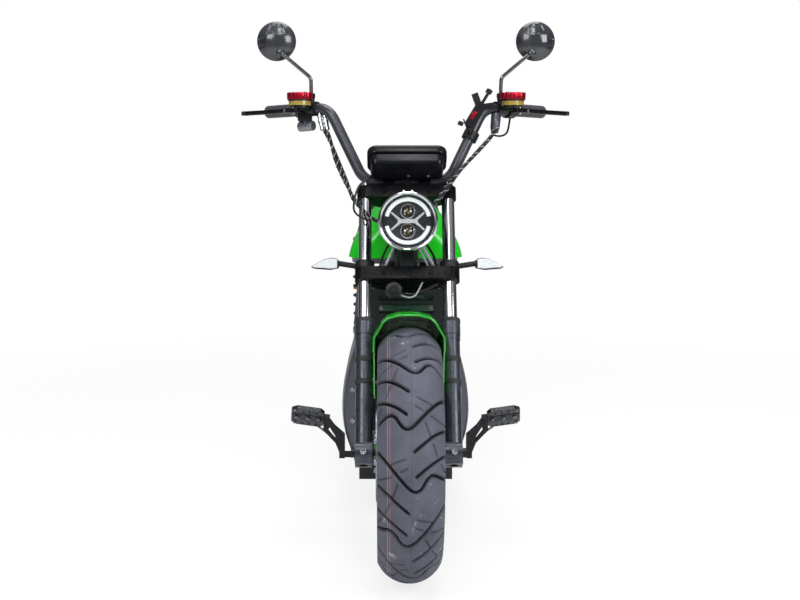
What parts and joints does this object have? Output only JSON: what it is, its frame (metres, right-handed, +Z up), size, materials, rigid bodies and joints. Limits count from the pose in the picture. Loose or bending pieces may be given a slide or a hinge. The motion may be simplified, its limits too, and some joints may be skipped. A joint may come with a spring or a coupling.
{
  "type": "electric chopper scooter",
  "caption": "Low electric chopper scooter with raked fork, round headlamp, swept bars, green tank and fenders, hub motor and centre stand.",
  "frame": {"origin": "on the floor under the middle of the whole outline", "axes": "+X to the rider's left, +Y to the back, +Z up"},
  "size_m": [0.7106, 1.8269, 1.072],
  "materials": {
    "frame_black": "satin black",
    "body_grey": "satin grey plastic",
    "black_plastic": "moulded black",
    "green": "gloss green",
    "seat_black": "sewn black",
    "chrome": "polished",
    "steel": "satin",
    "alloy_black": "black coated",
    "fork_grey": "dark satin",
    "tyre": "matt rubber",
    "rubber": "matt",
    "red_anodised": "red anodised",
    "fluid": "clear cup with yellow fluid",
    "lens_clear": "clear",
    "lens_red": "red lens",
    "lens_amber": "amber lens",
    "mirror_glass": "mirror",
    "mirror_back": "dark gloss",
    "battery": "black",
    "light_alloy": "cast"
  },
  "bodies": {
    "frame": {"main_frame": "frame_black", "battery_case": "battery", "skid_plate": "frame_black", "front_panel": "black_plastic", "side_covers": "body_grey", "tank": "green", "tank_base": "body_grey", "seat_base": "black_plastic", "seat": "seat_black", "rear_fender": "green", "tail_lamp": "lens_red", "rear_indicators": "lens_amber", "swingarm": "frame_black", "rear_axle": "steel", "shock_absorbers": "steel", "shock_springs": "red_anodised", "foot_pegs": "alloy_black", "peg_plates": "light_alloy", "rear_caliper": "alloy_black", "charge_socket": "black_plastic"},
    "steering": {"lower_clamp": "alloy_black", "upper_clamp": "alloy_black", "fork_tubes": "chrome", "fork_sliders": "fork_grey", "front_axle": "steel", "front_fender": "green", "front_caliper": "alloy_black", "headlamp_bowl": "black_plastic", "headlamp_ring": "chrome", "headlamp_insert": "black_plastic", "headlamp_lens": "lens_clear", "front_indicators": "black_plastic", "indicator_lenses": "lens_clear", "handlebar": "frame_black", "bar_clamps": "alloy_black", "grips": "rubber", "brake_perches": "alloy_black", "brake_levers": "alloy_black", "reservoirs": "fluid", "reservoir_caps": "red_anodised", "switch_pods": "black_plastic", "mirror_stems": "alloy_black", "mirror_heads": "mirror_back", "mirror_glasses": "mirror_glass", "display": "black_plastic", "phone_holder": "black_plastic", "cable_looms": "rubber"},
    "front_wheel": {"front_tyre": "tyre", "front_rim": "alloy_black", "front_disc": "steel"},
    "rear_wheel": {"rear_tyre": "tyre", "rear_rim": "alloy_black", "rear_disc": "steel"},
    "center_stand": {"center_stand": "frame_black"}
  },
  "joints": [
    {"name": "steering", "type": "hinge", "parent": "frame", "child": "steering", "pos_m": [0, -0.64257, 0.21819], "axis": [0, 0.4695, 0.8829], "range_deg": [-35, 35]},
    {"name": "front_wheel_spin", "type": "hinge", "parent": "steering", "child": "front_wheel", "pos_m": [0, -0.677, 0.2365], "axis": [1, 0, 0], "continuous": true},
    {"name": "rear_wheel_spin", "type": "hinge", "parent": "frame", "child": "rear_wheel", "pos_m": [0, 0.653, 0.2465], "axis": [1, 0, 0], "continuous": true},
    {"name": "center_stand_fold", "type": "hinge", "parent": "frame", "child": "center_stand", "pos_m": [0, 0.193, 0.15], "axis": [1, 0, 0], "range_deg": [0, 82]}
  ]
}
